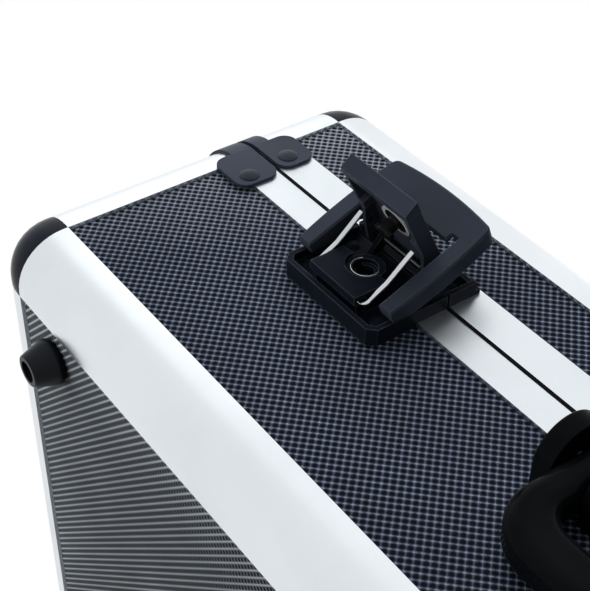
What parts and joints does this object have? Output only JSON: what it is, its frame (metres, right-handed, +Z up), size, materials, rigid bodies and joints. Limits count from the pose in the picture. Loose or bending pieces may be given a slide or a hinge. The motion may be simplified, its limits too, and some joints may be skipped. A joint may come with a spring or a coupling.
{
  "type": "mixer case",
  "caption": "Shallow hard case for a mixer with aluminium edges, ball corners, a rear-hinged lid, draw latches and a folding front handle.",
  "frame": {"origin": "centre of the bounding box at the underside of the feet", "axes": "+X along the width, +Y from the latches to the hinges, +Z up"},
  "size_m": [0.6662, 0.5092, 0.185],
  "materials": {
    "waffle_laminate": "black waffle-embossed laminate on board",
    "aluminium_profile": "satin with fine lengthwise grooves",
    "gloss_corner": "glossy black",
    "seam_cover": "satin black",
    "black_rivet": "satin black",
    "foot_rubber": "matte black",
    "gloss_handle": "glossy black",
    "bright_steel": "bright zinc plate",
    "grey_foam": "open-cell foam",
    "latch_black": "satin black"
  },
  "bodies": {
    "base": {"base_floor_panel": "waffle_laminate", "base_front_panel": "waffle_laminate", "base_rear_panel": "waffle_laminate", "base_side_panel_left": "waffle_laminate", "base_side_panel_right": "waffle_laminate", "base_bottom_profiles": "aluminium_profile", "base_upright_profiles": "aluminium_profile", "base_closing_profiles": "aluminium_profile", "base_ball_corners": "gloss_corner", "base_seam_covers": "seam_cover", "base_seam_rivets": "black_rivet", "rubber_foot_1": "foot_rubber", "rubber_foot_2": "foot_rubber", "rubber_foot_3": "foot_rubber", "rubber_foot_4": "foot_rubber", "foot_screws": "bright_steel", "handle_bracket_left": "gloss_handle", "handle_bracket_right": "gloss_handle", "handle_screws": "bright_steel", "hinge_base_leaf_left": "bright_steel", "hinge_base_leaf_right": "bright_steel", "hinge_pins": "bright_steel", "hinge_base_rivets": "black_rivet", "base_floor_foam": "grey_foam", "base_wall_foam": "grey_foam", "latch_tray_left": "latch_black", "latch_tray_right": "latch_black", "latch_rivets": "black_rivet", "latch_hinge_pins": "bright_steel"},
    "lid": {"lid_top_panel": "waffle_laminate", "lid_front_panel": "waffle_laminate", "lid_rear_panel": "waffle_laminate", "lid_side_panel_left": "waffle_laminate", "lid_side_panel_right": "waffle_laminate", "lid_top_profiles": "aluminium_profile", "lid_upright_profiles": "aluminium_profile", "lid_closing_profiles": "aluminium_profile", "lid_ball_corners": "gloss_corner", "lid_seam_covers": "seam_cover", "lid_seam_rivets": "black_rivet", "lid_foam_pad": "grey_foam", "hinge_lid_leaf_left": "bright_steel", "hinge_lid_leaf_right": "bright_steel", "hinge_lid_rivets": "black_rivet", "latch_keeper_left": "latch_black", "latch_keeper_right": "latch_black", "keeper_rivets": "black_rivet"},
    "handle": {"handle_grip": "gloss_handle", "handle_pins": "bright_steel"},
    "lever_left": {"latch_lever_left": "latch_black", "latch_link_pins_left": "bright_steel"},
    "cover_left": {"latch_cover_left": "latch_black"},
    "spring_left": {"latch_spring_left": "bright_steel"},
    "lock_left": {"latch_lock_left": "bright_steel"},
    "lever_right": {"latch_lever_right": "latch_black", "latch_link_pins_right": "bright_steel"},
    "cover_right": {"latch_cover_right": "latch_black"},
    "spring_right": {"latch_spring_right": "bright_steel"},
    "lock_right": {"latch_lock_right": "bright_steel"}
  },
  "joints": [
    {"name": "lid_hinge", "type": "hinge", "parent": "base", "child": "lid", "pos_m": [0, 0.25061, 0.121], "axis": [-1, 0, 0], "range_deg": [0, 100]},
    {"name": "handle_pivot", "type": "hinge", "parent": "base", "child": "handle", "pos_m": [0, -0.21599, 0.102], "axis": [-1, 0, 0], "range_deg": [0, 90]},
    {"name": "lever_left_hinge", "type": "hinge", "parent": "base", "child": "lever_left", "pos_m": [-0.2155, -0.21612, 0.12152], "axis": [1, 0, 0], "range_deg": [0, 64], "stiffness_Nm_per_rad": 0.02, "springref_deg": -68.75},
    {"name": "cover_left_hinge", "type": "hinge", "parent": "lever_left", "child": "cover_left", "pos_m": [-0.2155, -0.22353, 0.11852], "axis": [1, 0, 0], "range_deg": [-85.3, 0]},
    {"name": "spring_left_hinge", "type": "hinge", "parent": "base", "child": "spring_left", "pos_m": [-0.2155, -0.21558, 0.0924], "axis": [1, 0, 0], "range_deg": [-38.4, 0]},
    {"name": "lock_left_turn", "type": "hinge", "parent": "lever_left", "child": "lock_left", "pos_m": [-0.2155, -0.23207, 0.11436], "axis": [0, -0.4384, 0.8988], "range_deg": [0, 90]},
    {"name": "lever_right_hinge", "type": "hinge", "parent": "base", "child": "lever_right", "pos_m": [0.2155, -0.21612, 0.12152], "axis": [1, 0, 0], "range_deg": [0, 64], "stiffness_Nm_per_rad": 0.02, "springref_deg": -68.75},
    {"name": "cover_right_hinge", "type": "hinge", "parent": "lever_right", "child": "cover_right", "pos_m": [0.2155, -0.22353, 0.11852], "axis": [1, 0, 0], "range_deg": [-85.3, 0]},
    {"name": "spring_right_hinge", "type": "hinge", "parent": "base", "child": "spring_right", "pos_m": [0.2155, -0.21558, 0.0924], "axis": [1, 0, 0], "range_deg": [-38.4, 0]},
    {"name": "lock_right_turn", "type": "hinge", "parent": "lever_right", "child": "lock_right", "pos_m": [0.2155, -0.23207, 0.11436], "axis": [0, -0.4384, 0.8988], "range_deg": [0, 90]}
  ],
  "couplings": [
    {"joint": "cover_left_hinge", "follows": "lever_left_hinge", "ratio": -1.3328},
    {"joint": "spring_left_hinge", "follows": "lever_left_hinge", "ratio": -0.6},
    {"joint": "cover_right_hinge", "follows": "lever_right_hinge", "ratio": -1.3328},
    {"joint": "spring_right_hinge", "follows": "lever_right_hinge", "ratio": -0.6}
  ]
}
